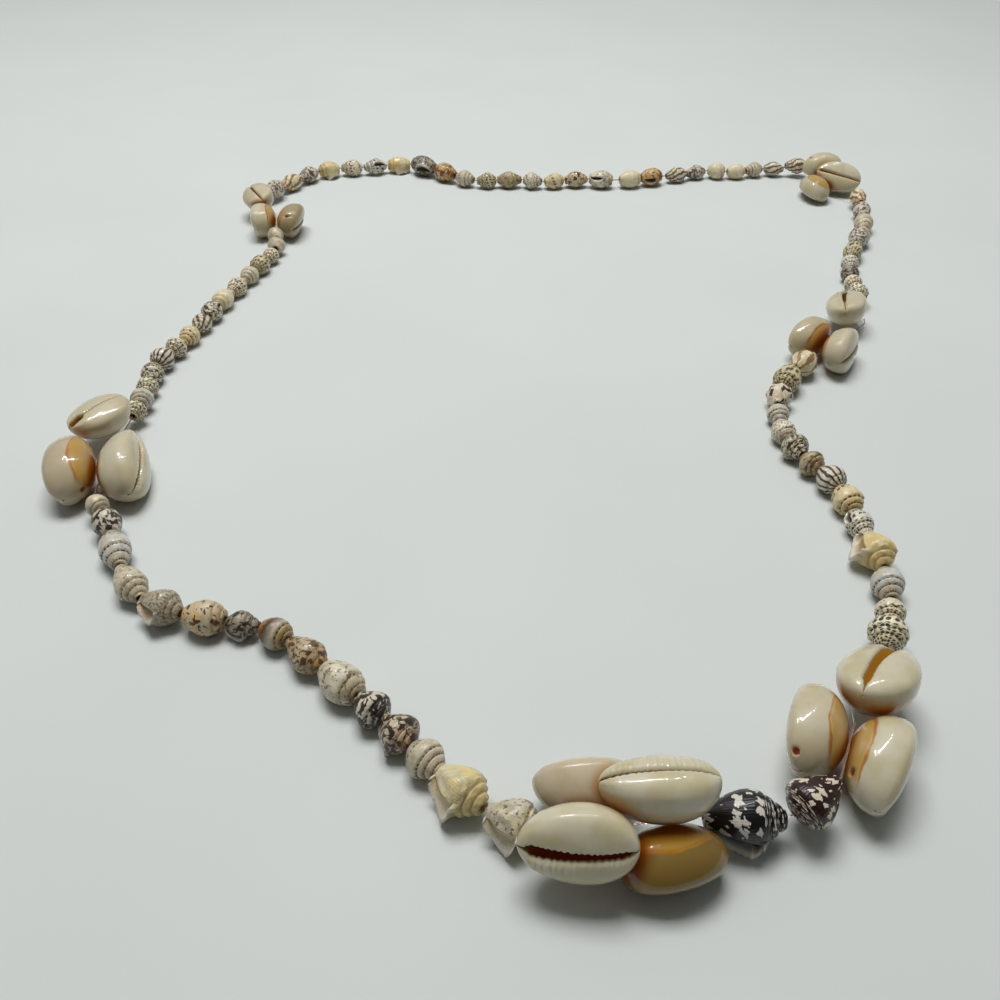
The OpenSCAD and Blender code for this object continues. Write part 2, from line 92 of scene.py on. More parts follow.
# Cowries: bunch, place in it, x, y, length, width, yaw, nose up, roll, lift, hole station, hole angle,
# details. The node is named after the bunch and the place.
COWRIES = [
    ("front", "left", -3.5, -183, 23, 15, 174, -5, 115, 5.5, -0.6, 0,
     dict(slit=2.3, span=(-0.86, 0.74), ridges=(0.8, 3.4), yellow=0.15, rose=0)),
    ("front", "back", -0.5, -165, 22, 15, 182, 0, -105, 0, -0.6, 0,
     dict(yellow=0.15, rose=0.7, lined=0, light=1.8)),
    ("front", "upper", 12.5, -173, 23.5, 12.5, 180, -2, 195, 10, 0.6, 0,
     dict(slit=0.7, span=(-0.92, 0.97), ridges=(5.5, 1), tooth=0.14, yellow=0.1, rose=0, light=0.6)),
    ("front", "right", 15.5, -182.2, 21.5, 14, 13, 3, -35, 0, -0.7, -15, dict(yellow=1, rose=0)),
    ("right_low", "upper", 65, -141, 23, 17, 52, -15, 165, 4.5, -0.6, 0,
     dict(slit=3, span=(-0.8, 0.96), ridges=(0.5, 1.6), yellow=0.2, rose=0.1, amber=1)),
    ("right_low", "left", 47.5, -152.5, 23, 15.5, 69, 0, 70, 1, -0.85, 100, dict(yellow=0.45, rose=0.4)),
    ("right_low", "right", 61.5, -162, 23.5, 16.5, 242, 0, 80, 0, 0.55, 10, dict(yellow=0.5, rose=0.1)),
    ("left_mid", "upper", -139, -36.5, 19.5, 15.5, 230, -4, 184, 3.5, 0.6, 0,
     dict(slit=2.6, span=(0.5, 0.9), ridges=(0.6, 0.6), yellow=0.2, amber=0.7, light=2)),
    ("left_mid", "left", -141.8, -60, 25, 14.5, 104, 6, 60, 0, -0.8, -25, dict(yellow=0.65, rose=0.8)),
    ("left_mid", "right", -123.8, -58.5, 25.5, 15.5, 103, 6, -110, 0, 0.6, 0,
     dict(slit=1.6, ridges=(2.4, 1.6))),
    ("right_mid", "upper", 106, 35.5, 20, 14, 73, -7, 165, 2, -0.6, 0,
     dict(slit=2, span=(-0.5, 0.6), ridges=(1, 1), yellow=0.2, rose=0.2, amber=0.6, light=2)),
    ("right_mid", "left", 88.5, 17.5, 20, 13, 42, 0, 80, 0, -0.6, -125,
     dict(yellow=0.65, rose=0.2, light=1.6)),
    ("right_mid", "right", 98.5, 7, 20, 14, 60, 0, -100, 0, 0.6, 0, dict(slit=1.6, rose=0.4)),
    ("right_far", "back", 132, 172.5, 18, 12, 0, 8, 0, 4, -0.6, 0, dict(yellow=0, rose=0.1, lined=0)),
    ("right_far", "left", 124, 153.5, 18, 12.5, 100, 0, 20, 0, 0.6, 0, dict(yellow=0.65, rose=0.2)),
    ("right_far", "right", 136, 159, 20, 13, 160, 10, 130, 1, 0.6, 0,
     dict(slit=0.8, rose=0.1, amber=0.5)),
    ("left_far", "upper", -123, 132, 17.5, 13, 119, 0, 160, 4, -0.6, 0,
     dict(slit=0.9, yellow=0.2, rose=0.4, amber=0.6)),
    ("left_far", "left", -119, 115, 19, 13, 95, 0, 75, 0, 0.6, 0, dict(yellow=0.5, rose=0.1)),
    ("left_far", "right", -104.5, 114.5, 19, 13, 85, 0, -75, 0, -0.7, -65, dict(yellow=0.85, rose=0.2)),
]

# Forms of the small shells from spire to nose. First the outline: station, share of the widest radius.
# Then where the seam between the whorls passes the mouth, one row a turn: station, turn.
FORMS = {
    "cone": ([
        (0, 0.4), (0.07, 0.5), (0.13, 0.58), (0.2, 0.7), (0.29, 0.79), (0.37, 0.92), (0.47, 0.99),
        (0.58, 1), (0.68, 0.95), (0.78, 0.82), (0.89, 0.62), (1, 0.42)], [
        (-0.1, -0.4), (0.02, 0.3), (0.15, 1), (0.31, 2), (0.46, 3), (1, 3.95)]),
    "dome": ([
        (0, 0.5), (0.06, 0.64), (0.11, 0.72), (0.19, 0.85), (0.3, 0.95), (0.42, 1), (0.54, 0.99),
        (0.66, 0.92), (0.78, 0.8), (0.89, 0.64), (1, 0.46)], [
        (-0.1, -0.4), (0.02, 0.3), (0.13, 1), (0.3, 2), (1, 2.95)]),
    "long": ([
        (0, 0.36), (0.08, 0.5), (0.18, 0.67), (0.27, 0.77), (0.36, 0.9), (0.46, 0.99), (0.56, 1),
        (0.68, 0.92), (0.8, 0.74), (0.9, 0.54), (1, 0.38)], [
        (-0.1, -0.4), (0.02, 0.3), (0.12, 1), (0.29, 2), (0.45, 3), (1, 3.95)]),
    "wedge": ([
        (0, 0.3), (0.07, 0.45), (0.15, 0.62), (0.22, 0.76), (0.29, 0.9), (0.36, 0.98), (0.43, 1),
        (0.54, 0.95), (0.66, 0.83), (0.78, 0.66), (0.9, 0.47), (1, 0.34)], [
        (-0.1, -0.4), (0.02, 0.3), (0.1, 1), (0.22, 2), (0.33, 3), (1, 3.95)]),
    "top": ([
        (0, 0.4), (0.05, 0.62), (0.13, 0.85), (0.2, 0.94), (0.27, 1), (0.38, 0.98), (0.52, 0.86),
        (0.68, 0.68), (0.84, 0.44), (1, 0.25)], [
        (-0.1, -0.2), (0.01, 0.4), (0.08, 1), (0.21, 2), (1, 2.95)]),
}

# Strings: reach of the lift at their ends, gap between shells, bore, rounding of a shell's end where the
# string bends, and steps of the curve from one point of the route to the next
LIFT_REACH = 25
BEAD_GAP = 0.3
BORE_D = 2
END_RADIUS = 2.2
CURVE_STEPS = 5
# Small shells: width of a seam, height of the knobs as a share of the radius, station of the mouth's
# middle, and the least height over the table
SEAM_WIDTH = 0.22
KNOB_HEIGHT = 0.075
MOUTH_STATION = 0.66
TABLE_GAP = 0.05

# Shells that are nodes of their own: string, place on it, node
SINGLES = (
    [("front", 0, "shell_front_black"), ("front", 1, "shell_front_maroon")]
    + [(string, i, f"shell_{string}_{i + 1:02d}")
       for string, count in (("right", 4), ("left", 15)) for i in range(count)])
# Strings in order round the loop. First the route: x, y.
# Then the shells: room along the thread, width, form, spire, mouth angle, finish, tilt. Spire 1 points
# along the route, -1 back. The mouth turns from 0 at the top, plus inward. Width 0 is bare thread.
# Then how far the first and last shells are lifted where the cowries hold them, and the string's node.
STRINGS = {
    "front": ([
        (22, -172.5), (38.5, -173.5), (50, -167)], [
        (17.5, 11.5, "wedge", 1, -100, "jet_angular"), (15, 11, "top", -1, 170, "maroon_flamed", 20)],
        (1.5, 6.5), None),
    "right": ([
        (72, -127), (77.5, -115), (80.5, -104), (80.5, -92), (79.5, -79), (79.5, -70), (77, -60),
        (73, -52.5), (69.5, -44), (68.5, -35), (69, -26), (71.5, -17), (76, -6), (84, 2), (90, 8)], [
        (10, 9.5, "cone", -1, 150, "black_dotted"), (9, 7.5, "cone", -1, 170, "brown_rows"),
        (11, 8.5, "cone", -1, 200, "suture_dotted"), (13, 10, "wedge", -1, 60, "honey"),
        (11, 7.5, "cone", -1, 60, "grey_dotted"), (10, 8.5, "dome", -1, 180, "honey_dotted"),
        (9, 8.5, "dome", -1, 160, "purple_striped"), (8, 8, "cone", -1, 180, "tan_mottled"),
        (9, 8.5, "cone", -1, 200, "olive_net"), (9.5, 7.5, "dome", -1, 180, "white_netted"),
        (9, 7, "cone", -1, 170, "suture_dotted"), (10.5, 8.5, "wedge", 1, 180, "brown_angular"),
        (12.5, 9, "dome", -1, 150, "olive_rows"), (11.5, 8.5, "cone", 1, 180, "tan_banded")],
        (1.5, 1.5), "string_right"),
    "right_far": ([
        (114.5, 46), (116.5, 54), (116.5, 63), (118.5, 72), (120.5, 80), (126, 94), (133, 107),
        (138, 122), (140.5, 137), (141, 151)], [
        (11, 7.5, "cone", -1, 180, "black_dotted"), (9.5, 7, "cone", -1, 190, "brown_rows"),
        (8.5, 7, "cone", -1, 160, "dark_speckled"), (10, 7, "cone", -1, 180, "grey_dotted"),
        (14, 7.5, "dome", -1, 170, "olive_rows"), (15, 8.5, "long", 1, 180, "purple_spotted"),
        (14, 8, "long", -1, 190, "grey_banded"), (12.5, 7.5, "cone", -1, 180, "purple_spotted"),
        (11, 7, "cone", -1, 180, "tan_banded")], (2, 3), "string_right_far"),
    "far": ([
        (127, 180), (113, 180), (104, 181), (95, 177), (85, 177), (76, 179), (66, 173), (54, 170),
        (44, 167), (31, 165), (19, 168), (9, 166), (0, 164), (-10, 167), (-22, 166), (-31, 166),
        (-41, 172), (-52, 181), (-63, 187), (-74, 184), (-85, 181), (-95, 181), (-105, 176), (-112, 166),
        (-119, 154), (-122, 144)], [
        (10.5, 7, "cone", 1, 180, "dark_banded"), (10, 6.5, "cone", -1, 160, "dark_banded"),
        (9.5, 7, "cone", 1, 190, "grey_banded"), (9.5, 7, "dome", -1, 180, "cream"),
        (9.5, 7.5, "dome", -1, 180, "cream"), (11, 6.5, "cone", 1, 150, "purple_spotted"),
        (11, 7, "cone", 1, 180, "dark_banded"), (2, 0), (10.5, 8, "dome", -1, 90, "amber_patched"),
        (10.5, 8, "dome", -1, 170, "cream"), (2.5, 0), (12, 8, "dome", -1, 60, "white_specked"),
        (11.5, 7.5, "long", -1, 180, "amber_cream"), (10, 7, "dome", -1, 180, "honey_dotted"),
        (10, 7.5, "cone", -1, 180, "white_netted"), (12, 7.5, "long", -1, 180, "tan_mottled"),
        (10, 7, "cone", 1, 170, "olive_rows"), (10, 7.5, "cone", -1, 190, "grey_banded"),
        (13, 8.5, "cone", -1, 180, "amber_patched"), (14, 9, "dome", 1, 100, "dark_speckled"),
        (12.5, 7.5, "dome", 1, 180, "honey"), (11.5, 7.5, "long", 1, 60, "grey_dotted"),
        (11, 7.5, "cone", 1, 180, "brown_rows"), (11, 7.5, "dome", 1, 170, "honey"),
        (11.5, 7.5, "cone", 1, 190, "purple_spotted"), (12.5, 7.5, "cone", 1, 180, "tan_banded"),
        (13, 7.5, "cone", 1, 160, "purple_spotted")], (3, 3), "string_far"),
    "left_far": ([
        (-112, 107), (-109.5, 99), (-108.5, 93), (-110.5, 86), (-112.5, 78), (-115.5, 69), (-118, 59),
        (-121.5, 49), (-123, 40), (-125, 31), (-127.5, 21), (-130.5, 12), (-133, 5), (-133.5, -4),
        (-132.5, -12), (-132, -20), (-132, -30)], [
        (9, 6.5, "cone", -1, 180, "rose_cream"), (7.5, 7, "dome", -1, 170, "rose_cream"),
        (8.5, 6.5, "cone", 1, 180, "brown_rows"), (9.5, 7.5, "dome", 1, 190, "olive_rows"),
        (9.5, 7, "cone", 1, 180, "grey_banded"), (11, 7, "cone", 1, 160, "brown_rows"),
        (10, 7.5, "dome", 1, 180, "cream"), (9, 7.5, "dome", 1, 60, "olive_net"),
        (9, 7, "cone", 1, 190, "dark_banded"), (9.5, 7, "cone", 1, 180, "honey_dotted"),
        (8, 7.5, "cone", 1, 170, "brown_rows"), (8.5, 8, "dome", 1, -60, "purple_striped"),
        (9, 7.5, "dome", 1, 180, "olive_net"), (8.5, 7, "cone", 1, 190, "black_dotted"),
        (8, 7.5, "cone", 1, 180, "suture_dotted"), (7, 7, "cone", 1, 180, "black_dotted")],
        (3, 2), "string_left_far"),
    "left": ([
        (-131.5, -70.5), (-125, -79), (-119.5, -90), (-112, -105), (-101.5, -113), (-90, -116),
        (-81, -117), (-72.5, -119.5), (-63, -128), (-53.5, -137), (-46, -144), (-39.5, -151),
        (-33.5, -157.5), (-25, -166.5), (-16.5, -173.5), (-6.5, -175.5)], [
        (7.5, 6.5, "dome", 1, 180, "rose_cream"), (9.5, 8, "dome", -1, 170, "black_patched"),
        (14.5, 8.5, "cone", 1, 190, "suture_dotted"), (15, 8.5, "wedge", 1, 160, "fine_lined"),
        (13, 9.5, "wedge", 1, -65, "brown_speckled"), (11, 9, "dome", 1, 150, "amber_cream"),
        (9, 7, "cone", 1, -100, "dark_speckled"), (9, 8, "dome", 1, 170, "amber_banded"),
        (13.5, 8.5, "wedge", 1, 190, "tan_netted"), (12, 9.5, "dome", 1, 180, "white_specked"),
        (9.5, 9, "wedge", 1, 160, "black_patched"), (9.5, 9.5, "wedge", 1, -100, "brown_patched"),
        (9, 9, "cone", 1, 170, "grey_banded"), (13.5, 10.5, "wedge", 1, -75, "butter"),
        (12.5, 9.5, "wedge", 1, -80, "chalk")], (2.5, 1.5), None),
}

# Finishes of the small shells. ground: colours from spire to nose. stain: patches of a warmer tone.
# Marks: blotch (size mm, cover), speck (size mm, cover), dots (rows a whorl, dots a turn, size),
# stripes (count, slant, cover), lines (a whorl, broken share), tents (a turn, rows a whorl, share), then
# the mark's colour.
# flare: how far the outer lip stands out as a wing. inner: colour inside the mouth, also painted deep in
# the bore;
# without it the mouth and bore get a dark brown painted as shade. lumps: knobs a turn.
FINISHES = {
    "rose_cream": dict(ground="#BAB09C #C8C2B6 #C2BAA8", stain="#DECCAC"),
    "black_patched": dict(
        ground="#D6CEC2 #E4DED6 #DCD4CA", blotch=(1.5, 0.5), dots=(1, 16, 0.34), mark="#1E1613"),
    "suture_dotted": dict(
        ground="#C2B6A4 #D6D4CE #CCCAC6", dots=(1, 20, 0.3), mark="#4A3B33", stain="#C8CACA"),
    "grey_dotted": dict(
        ground="#DAD6D0 #EEEBE4 #E2DFDA", dots=(2, 16, 0.32), mark="#3F332C", stain="#C8CACA"),
    "fine_lined": dict(
        ground="#CEC2AC #DAD4C4 #D8D0BC", lines=(9, 0.5), dots=(1, 18, 0.26), mark="#5C4432"),
    "brown_speckled": dict(
        ground="#B4AA96 #C0BCAE #BCB4A2", speck=(1.3, 0.26), mark="#755A48", flare=0.5, inner="#B79A78"),
    "amber_cream": dict(
        ground="#CEB896 #DACEB8 #D8C6AA", stain="#D8AE72", blotch=(1.5, 0.22), mark="#4C2E1C", flare=0.4,
        inner="#C9A57C"),
    "dark_speckled": dict(
        ground="#A29A8C #ACA498 #A29A8C", blotch=(1.2, 0.42), mark="#30241D", flare=0.3),
    "amber_banded": dict(ground="#B09C6E #CAC4B8 #50321A #AA763A", dots=(1, 14, 0.26), mark="#4F331D"),
    "tan_netted": dict(
        ground="#AE8C56 #CCBEA4 #C4B496", blotch=(1.5, 0.34), lines=(8, 0.5), mark="#5A3A1E"),
    "white_specked": dict(
        ground="#C4B69A #DAD6CA #D6D2C2", dots=(1, 16, 0.2), speck=(2.4, 0.06), mark="#75604E",
        stain="#E2D8C0"),
    "brown_patched": dict(
        ground="#A2784E #CAC2B8 #C6BCAC", blotch=(1.4, 0.5), mark="#33201A", stain="#DCC4A4", flare=0.45,
        inner="#D9CDB8"),
    "grey_banded": dict(
        ground="#CCBEA6 #E0DCCE #D0C8B6 #DAD6CA", dots=(1, 22, 0.3), mark="#5A4A42", stain="#CFC3AE"),
    "butter": dict(ground="#D0C08E #DED4AE #E2DCC8", stain="#DEC884", flare=1, inner="#CDB890", lumps=7),
    "chalk": dict(
        ground="#C4BCA6 #D0CABE #D0CABE", speck=(1.9, 0.08), mark="#6E5842", stain="#E6D8AE", flare=1,
        inner="#CBBA96", lumps=7),
    "black_dotted": dict(ground="#EAE0C6 #F6F4E0 #F6F0D8", dots=(3, 16, 0.33), mark="#191410", lumps=11),
    "brown_rows": dict(
        ground="#E4D8C0 #F6F2E0 #F2E8D6", dots=(2, 16, 0.3), speck=(1.6, 0.1), mark="#4C3424"),
    "honey": dict(ground="#DCC58C #EADCB0 #EEE4C6", stain="#D2B670", flare=1, inner="#9C8458", lumps=6),
    "honey_dotted": dict(ground="#DCC896 #ECDFBC #E8DAB4", dots=(1, 14, 0.3), mark="#5E4022", lumps=9),
    "purple_striped": dict(ground="#E2DCD2 #EEEAE0 #E0D8CE", stripes=(26, 0.3, 0.4), mark="#3A2B30"),
    "tan_mottled": dict(ground="#AE9872 #C2B69A #BAAA8C", blotch=(1.6, 0.28), mark="#7A6046"),
    "olive_net": dict(ground="#F2EEE4 #DED8C4 #D2CAB6", blotch=(1.0, 0.44), mark="#3A342A"),
    "white_netted": dict(ground="#DCD3C2 #F0EDE2 #E8E3D5", speck=(1.2, 0.25), mark="#665340"),
    "brown_angular": dict(ground="#DAC9B4 #ECE3D5 #E4D9C8", tents=(12, 4, 0.75), mark="#3C281E", lumps=8),
    "olive_rows": dict(ground="#D4C9A4 #E0D8B8 #D4CAA6", dots=(3, 16, 0.34), mark="#40361F", lumps=10),
    "tan_banded": dict(
        ground="#ECCEAC #F6ECD4 #EEE0C0", stripes=(12, 0.8, 0.34), mark="#8A6C48", lumps=9),
    "purple_spotted": dict(ground="#D8D0C5 #E4DDD1 #D6CEC3", blotch=(1.4, 0.4), mark="#5C4F50"),
    "dark_banded": dict(ground="#E0D8C6 #F2EADA #EAE0D0", stripes=(16, 0.8, 0.42), mark="#5C4E42"),
    "cream": dict(ground="#E0D4B6 #F0E9D6 #EAE0C8", stain="#DCCCA0"),
    "amber_patched": dict(ground="#C29658 #DCBF90 #D0AC76", blotch=(2.2, 0.32), mark="#74482A"),
    "jet_angular": dict(
        ground="#090607 #0A0708 #080606", tents=(17, 7, 0.55), mark="#CCC7BE", flare=0.8, inner="#060405"),
    "maroon_flamed": dict(ground="#2E120C #2A0D0A #2A0D0A", tents=(15, 6, 0.85), mark="#D6C8B4"),
}


def linear(hex_colour):
    """sRGB hex to the linear colour that the shader wants."""
    parts = [int(hex_colour[i:i + 2], 16) / 255 for i in (1, 3, 5)]
    return [c / 12.92 if c <= 0.04045 else ((c + 0.055) / 1.055) ** 2.4 for c in parts] + [1.0]


# Kinds of node: inputs that a call fills in order, output that it gives, settings unless it says others
KINDS = {
    "Attribute": ((), "Fac", {}),
    "Bump": (("Height", "Strength", "Distance"), 0, {}),
    "MapRange": ((0, 1, 2, 3, 4), 0, {"interpolation_type": "SMOOTHSTEP"}),
    "Math": ((0, 1, 2), 0, {"operation": "MULTIPLY"}),
    "Mix": ((0, 6, 7), 2, {"data_type": "RGBA"}),
    "TexCoord": ((), "Object", {}),
    "TexNoise": (("Vector", "Scale", "Detail", "Distortion"), 0, {}),
    "TexVoronoi": (("Vector", "Scale", "Randomness"), "Distance", {"voronoi_dimensions": "2D"}),
}


def feed(node, inputs):
    """Links a node's inputs, by name or number, or sets them. Text is a hex colour."""
    for name, value in inputs.items():
        if isinstance(value, bpy.types.NodeSocket):
            node.id_data.links.new(value, node.inputs[name])
        else:
            node.inputs[name].default_value = linear(value) if isinstance(value, str) else value


def add_node(tree, kind, *values, **settings):
    """Adds one node with its settings, feeds its usual inputs in order, and gives its usual output."""
    inputs, out, usual = KINDS.get(kind, ((0, 1), 0, {}))
    made = tree.nodes.new("ShaderNode" + kind)
    for name, value in {**usual, **settings}.items():
        setattr(made, name, value)
    feed(made, dict(zip(inputs, values)))
    return made.outputs[out]


def start_material(name):
    """A new material, its shader, and the node function for its tree."""
    material = bpy.data.materials.new(name)
    material.use_nodes = True
    tree = material.node_tree
    return material, tree.nodes["Principled BSDF"], partial(add_node, tree)


def porcelain_shell(sizes):
    """Cowrie shell: aragonite polished by the animal's mantle, hard and glassy like porcelain.
    Ivory sides, an olive beige back inside a soft amber ring, a red-brown hollow and drilled hole painted
    in as shade with painted amber light in them, and painted amber light and red-brown shade where two
    shells lean together, as if they shone through each other."""
    material, shader, add = start_material("polished_cowrie_porcelain")
    field = {name: add("Attribute", attribute_name=name)
             for name in ("ring", "painted_glow_shade", "groove", "inside", "hole", "yellow", "rose", "lined", "amber")}
    place = add("TexCoord")
    cloud = add("TexNoise", place, 140, 3)
    soft = add("MapRange", cloud, 0.38, 0.64)
    ivory = add("Mix", soft, sizes.ivory_hex, sizes.cream_hex)
    rosy = add("Mix", add("Math", field["rose"], 0.75), ivory, "#BBA68A")
    # Warm tints over the sides and the back of a shell whose back is amber
    warm = add("MapRange", field["yellow"], 0.6, 1.0, interpolation_type="LINEAR")
    rosy = add("Mix", warm, rosy, "#80662E")
    back = add("Mix", soft, sizes.back_hex, "#A5853C")
    back = add("Mix", warm, back, "#825E16")
    fine = add("TexNoise", place, 260, 1)
    waver = add("Math", fine, 0.14, -0.07, operation="MULTIPLY_ADD")
    ring = add("Math", field["ring"], waver, operation="ADD")
    within = add("MapRange", ring, 1.04, 0.86)
    coloured = add("Mix", add("Math", within, field["yellow"]), rosy, back)
    # The ring is a soft line that swells and thins
    wide = add("MapRange", cloud, 0.35, 0.65, 0.05, 0.12, interpolation_type="LINEAR")
    off = add("Math", ring, 1.0, operation="SUBTRACT")
    line = add("MapRange", add("Math", off, operation="ABSOLUTE"), wide, 0.012, 0, 0.9)
    # It is fainter where the cloud is thin
    kept = add("Math", add("MapRange", cloud, 0.2, 0.4), field["lined"])
    line = add("Math", line, kept)
    halo = add("Math", add("MapRange", off, -0.9, 0.0), within)
    haloed = add("Mix", add("Math", add("Math", halo, kept), 0.8), coloured, "#B48A2C")
    tone = add("Mix", soft, sizes.ring_hex, "#98560C")
    lined = add("Mix", line, haloed, tone)
    # Painted amber light and red-brown shade between leaning shells: white far off, amber near, dark
    # red-brown where they are nearest
    painted_glow_tint = add("ValToRGB", field["painted_glow_shade"])
    stops = painted_glow_tint.node.color_ramp.elements
    stops.new(0.45)
    for stop, where, colour in zip(stops, (0.05, 0.4, 0.85), ("#FFFFFF", sizes.painted_glow_hex, "#7A3408")):
        stop.position, stop.color = where, linear(colour)
    painted_glow_colour = add("Mix", 1.0, lined, painted_glow_tint, blend_type="MULTIPLY")
    toothed = add("Mix", add("Math", field["groove"], 0.6), painted_glow_colour, "#CFC5A8")
    # Painted shade: the drilled hole and the hollow of the slit are filled with the hollow's red-brown
    hole_shade = add("MapRange", field["hole"], 0.95, 0.75, interpolation_type="LINEAR")
    painted_shade = add("Math", hole_shade, field["inside"], operation="MAXIMUM")
    # Painted amber light in the hollow, where a cowrie's amber is set
    hollow = add("Mix", field["amber"], sizes.hollow_shade_hex, "#B48A30")
    whole = add("Mix", painted_shade, toothed, hollow)
    # Painted light: the wall emits amber where two shells lean together, and the hollow and the drilled
    # hole emit their own colour, more where amber is set
    painted_lit = add("Math", field["painted_glow_shade"], painted_shade, operation="MAXIMUM")
    strong = add("Math", add("Math", painted_shade, field["amber"]), 0.22)
    ripple = add("TexNoise", place, 350, 2)
    feed(shader, {"Base Color": whole, "Roughness": 0.3, "Specular IOR Level": 0.25,
                  "Emission Color": add("Mix", painted_shade, "#D06A14", hollow),
                  "Emission Strength": add("Math", painted_lit, 0.05, strong, operation="MULTIPLY_ADD"),
                  "Subsurface Weight": 0.15, "Subsurface Radius": (3, 1.4, 0.6), "Subsurface Scale": MM,
                  "Coat Weight": 0.9, "Coat Roughness": 0.02,
                  "Coat Normal": add("Bump", ripple, 0.05, 0.0004)})
    return material


def sea_snail_shell(name, row):
    """Small sea snail shell, tumbled but not polished: satin, with pigment laid in by the growing edge,
    so the marks follow the whorls and fade at their rims."""
    material, shader, add = start_material("snail_shell_" + name)
    uv = add("UVMap", uv_map="turns").node
    parts = add("SeparateXYZ", uv.outputs[0]).node
    turn, whorl = parts.outputs[0], parts.outputs[1]
    spiral = add("Math", whorl, turn, operation="SUBTRACT")
    field = {key: add("Attribute", attribute_name=key) for key in ("station", "seam", "lip", "mouth")}
    place = add("TexCoord")
    cloud = add("TexNoise", place, 420, 3)
    grain = add("TexNoise", place, 950, 2)
    shifted = add("Math", cloud, 0.16, field["station"], operation="MULTIPLY_ADD")
    steps = add("ValToRGB", shifted)
    stops = row["ground"].split()
    elements = steps.node.color_ramp.elements
    elements.new(0.5)
    if len(stops) == 4:
        elements.new(0.7)
    places = (0.14, 0.46, 1) if len(stops) == 3 else (0.22, 0.38, 0.7, 0.93)
    for element, where, colour in zip(elements, places, stops):
        element.position, element.color = where, linear(colour)
    mottle = add("MapRange", grain, 0.35, 0.7)
    veil = add("Mix", mottle, "#F1EDE0", "#D9D1BC")
    toned = add("Mix", 1.0, steps, veil, blend_type="MULTIPLY")
    if "stain" in row:
        spread = add("TexNoise", place, 300, 2)
        patch = add("MapRange", spread, 0.48, 0.64, 0, 0.75)
        toned = add("Mix", patch, toned, row["stain"])
    marks = []
    for key, detail, twist in (("blotch", 1.2, 0.8), ("speck", 1.0, 0.3)):
        if key in row:
            size, cover = row[key]
            level = 0.5 + (0.5 - cover) * 0.3
            cells = add("TexNoise", place, 1000 / size * (2 if key == "speck" else 1), detail, twist)
            marks.append(add("MapRange", cells, level - 0.035, level + 0.02, 0,
                             0.97 if key == "blotch" else 0.85))
    if "dots" in row:
        # Round dots in cells as long as they are wide; only the first rows below the seam are kept
        kept, count, size = row["dots"]
        rows = max(1, round(count / 5))
        cell = add("CombineXYZ", add("Math", turn, count), add("Math", spiral, rows))
        dots = add("TexVoronoi", cell, 1.0, 0.45)
        dot = add("MapRange", dots, size + 0.07, size - 0.05, 0, 0.95)
        below = add("Math", spiral, operation="FRACT")
        band = add("MapRange", below, kept / rows + 0.05, kept / rows - 0.05, interpolation_type="LINEAR")
        marks.append(add("Math", dot, band))
    if "tents" in row:
        count, rows, share = row["tents"]
        across = add("Math", turn, count, add("Math", grain, 0.9), operation="MULTIPLY_ADD")
        along = add("Math", spiral, rows, add("Math", cloud, 1.2), operation="MULTIPLY_ADD")
        cell = add("CombineXYZ", across, along)
        tent = add("TexVoronoi", cell, 1.0, 1.0, distance="MANHATTAN")
        pick = add("SeparateXYZ", tent.node.outputs["Color"])
        wide = add("MapRange", pick, share, 0.0, 0.0, 0.85, interpolation_type="LINEAR")
        marks.append(add("MapRange", add("Math", wide, tent, operation="SUBTRACT"), 0.0, 0.06))
    if "stripes" in row:
        count, slant, cover = row["stripes"]
        phase = add("Math", whorl, slant, add("Math", turn, count), operation="MULTIPLY_ADD")
        phase = add("Math", cloud, 1.6, phase, operation="MULTIPLY_ADD")
        wave = add("Math", phase, 1.0, operation="PINGPONG")
        marks.append(add("MapRange", wave, cover + 0.12, cover - 0.08, 0, 0.97))
    if "lines" in row:
        count, broken = row["lines"]
        fold = add("Math", add("Math", spiral, count), 0.5, operation="PINGPONG")
        here = add("MapRange", grain, 0.46 + broken * 0.06, 0.56 + broken * 0.06, 0, 0.8,
                   interpolation_type="LINEAR")
        marks.append(add("Math", add("MapRange", fold, 0.2, 0.08), here))
    if marks:
        whole = marks[0]
        for more in marks[1:]:
            whole = add("Math", whole, more, operation="MAXIMUM")
        toned = add("Mix", whole, toned, row["mark"])
    lip = add("Mix", field["lip"], toned, "#E9E2D2")
    seam = add("Mix", field["seam"], lip, "#B39C82", blend_type="MULTIPLY")
    # The inner colour is painted inside the mouth and deep in the bore; the default dark brown there is
    # painted shade
    finished = add("Mix", field["mouth"], seam, row.get("inner", "#4A382A"))
    # Growth lines run from seam to seam, about half a millimetre apart
    growth = add("Math", turn, 320, add("Math", cloud, 9), operation="MULTIPLY_ADD")
    growth = add("Math", growth, operation="SINE")
    relief = add("Math", growth, 0.3, grain, operation="MULTIPLY_ADD")
    feed(shader, {"Base Color": finished, "Roughness": 0.36, "Coat Weight": 0.25, "Coat Roughness": 0.12,
                  "Subsurface Weight": 0.06, "Subsurface Radius": (2, 1.2, 0.7), "Subsurface Scale": MM,
                  "Normal": add("Bump", relief, 0.2, 0.0003)})
    return material


def clear_line():
    """Nylon fishing line, drawn through a die: smooth and clear, with a faint, patchy pink tint."""
    material, shader, add = start_material("clear_nylon_line")
    patchy = add("TexNoise", add("TexCoord"), 300)
    feed(shader, {"Base Color": add("Mix", patchy, "#DCC8BC", "#C8A696"), "Roughness": 0.12,
                  "Transmission Weight": 0.85, "IOR": 1.53})
    return material


def matt_paper(sizes):
    """Matt coated card: a plain, pale, faintly green surface, clouded a little in tone."""
    material, shader, add = start_material("matt_pale_card")
    cloud = add("TexNoise", add("TexCoord"), 12, 2)
    feed(shader, {"Base Color": add("Mix", cloud, sizes.card_hex, "#C8CCCA"), "Roughness": 0.6,
                  "Specular IOR Level": 0.2})
    return material


def new_object(name, data):
    """A new object with this data, in the scene."""
    made = bpy.data.objects.new(name, data)
    bpy.context.scene.collection.objects.link(made)
    return made


